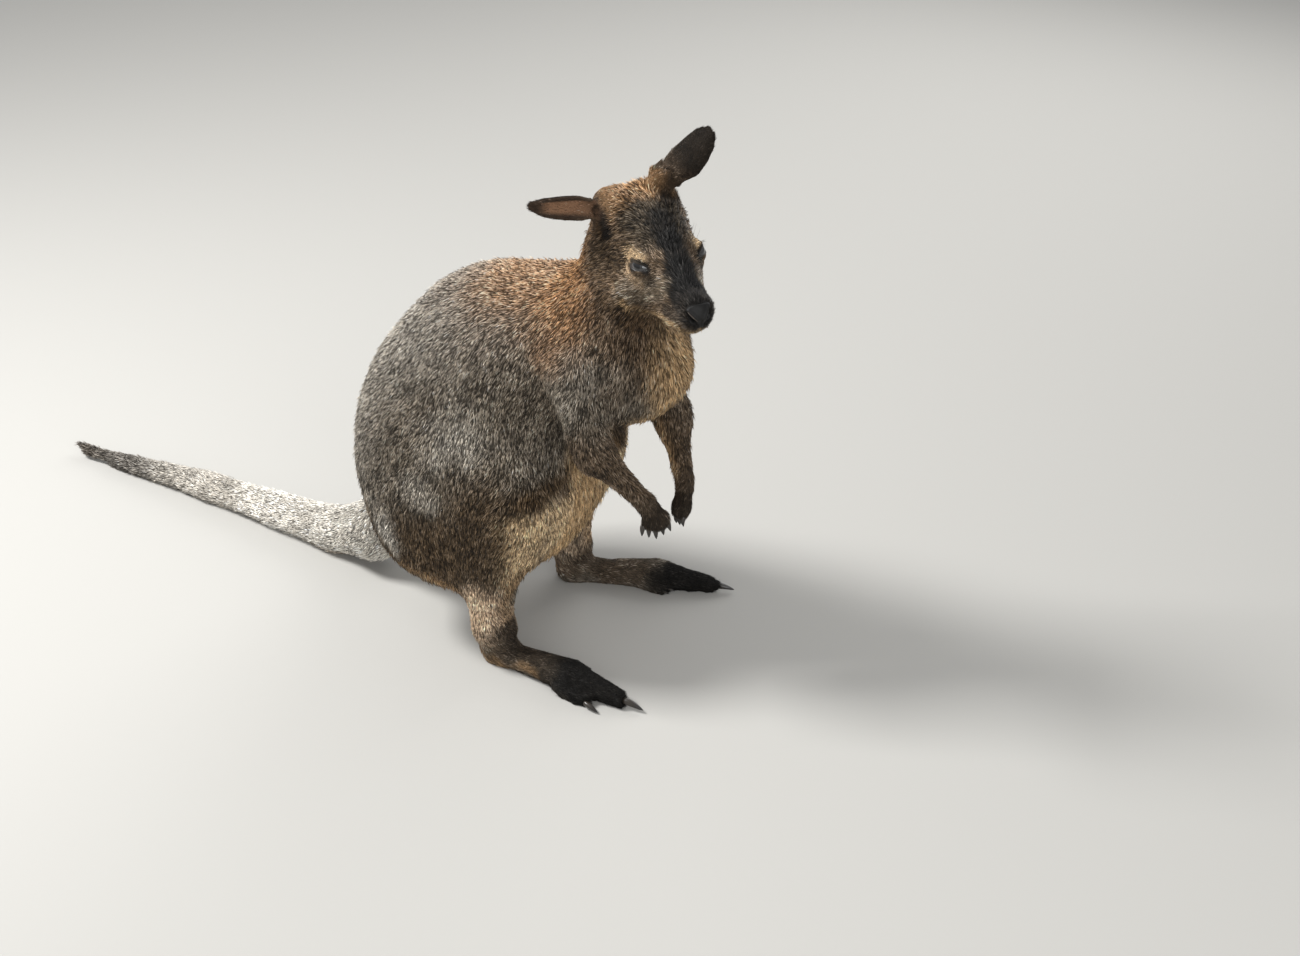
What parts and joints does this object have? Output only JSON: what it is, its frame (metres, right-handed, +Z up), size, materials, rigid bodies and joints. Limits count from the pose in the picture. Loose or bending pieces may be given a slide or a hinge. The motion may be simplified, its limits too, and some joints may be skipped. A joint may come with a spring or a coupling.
{
  "type": "wallaby",
  "caption": "Still life-size model of a red-necked wallaby sitting up on its hind feet and tail, head turned to its right.",
  "frame": {"origin": "on the floor, under the middle of the animal's bounding box", "axes": "+X the way the body faces, +Y the animal's left, +Z up"},
  "size_m": [0.9266, 0.2864, 0.594],
  "materials": {
    "rufous_coat": "dense ticked fur, rufous brown with dark tips",
    "brown_coat": "dense ticked fur, brown grey with pale tips",
    "grey_coat": "dense ticked fur, silvery grey over brown",
    "pale_coat": "soft fur, pale buff",
    "face_coat": "short ticked fur, black-brown on the bridge, pale cheek and lip lines",
    "dark_coat": "short fur, black-brown",
    "claw": "smooth horn, satin, darker at the tip",
    "eye": "wet dark brown, glossy"
  },
  "bodies": {
    "root": {"neck": "rufous_coat", "chest": "rufous_coat", "belly": "pale_coat", "rump": "grey_coat", "head": "face_coat", "tail_base": "grey_coat", "tail_middle": "grey_coat", "tail_tip": "dark_coat", "thigh_right": "brown_coat", "upper_arm_right": "brown_coat", "forearm_right": "brown_coat", "hand_right": "dark_coat", "ear_right": "dark_coat", "eye_right": "eye", "shank_right": "brown_coat", "foot_right": "dark_coat", "claw_hand_right_1": "claw", "claw_hand_right_2": "claw", "claw_hand_right_3": "claw", "claw_hand_right_4": "claw", "claw_hand_right_5": "claw", "claw_foot_right_fourth": "claw", "claw_foot_right_fifth": "claw", "claw_foot_right_third": "claw", "claw_foot_right_second": "claw", "thigh_left": "brown_coat", "upper_arm_left": "brown_coat", "forearm_left": "brown_coat", "hand_left": "dark_coat", "ear_left": "dark_coat", "eye_left": "eye", "shank_left": "brown_coat", "foot_left": "dark_coat", "claw_hand_left_1": "claw", "claw_hand_left_2": "claw", "claw_hand_left_3": "claw", "claw_hand_left_4": "claw", "claw_hand_left_5": "claw", "claw_foot_left_fourth": "claw", "claw_foot_left_fifth": "claw", "claw_foot_left_third": "claw", "claw_foot_left_second": "claw"}
  },
  "joints": []
}
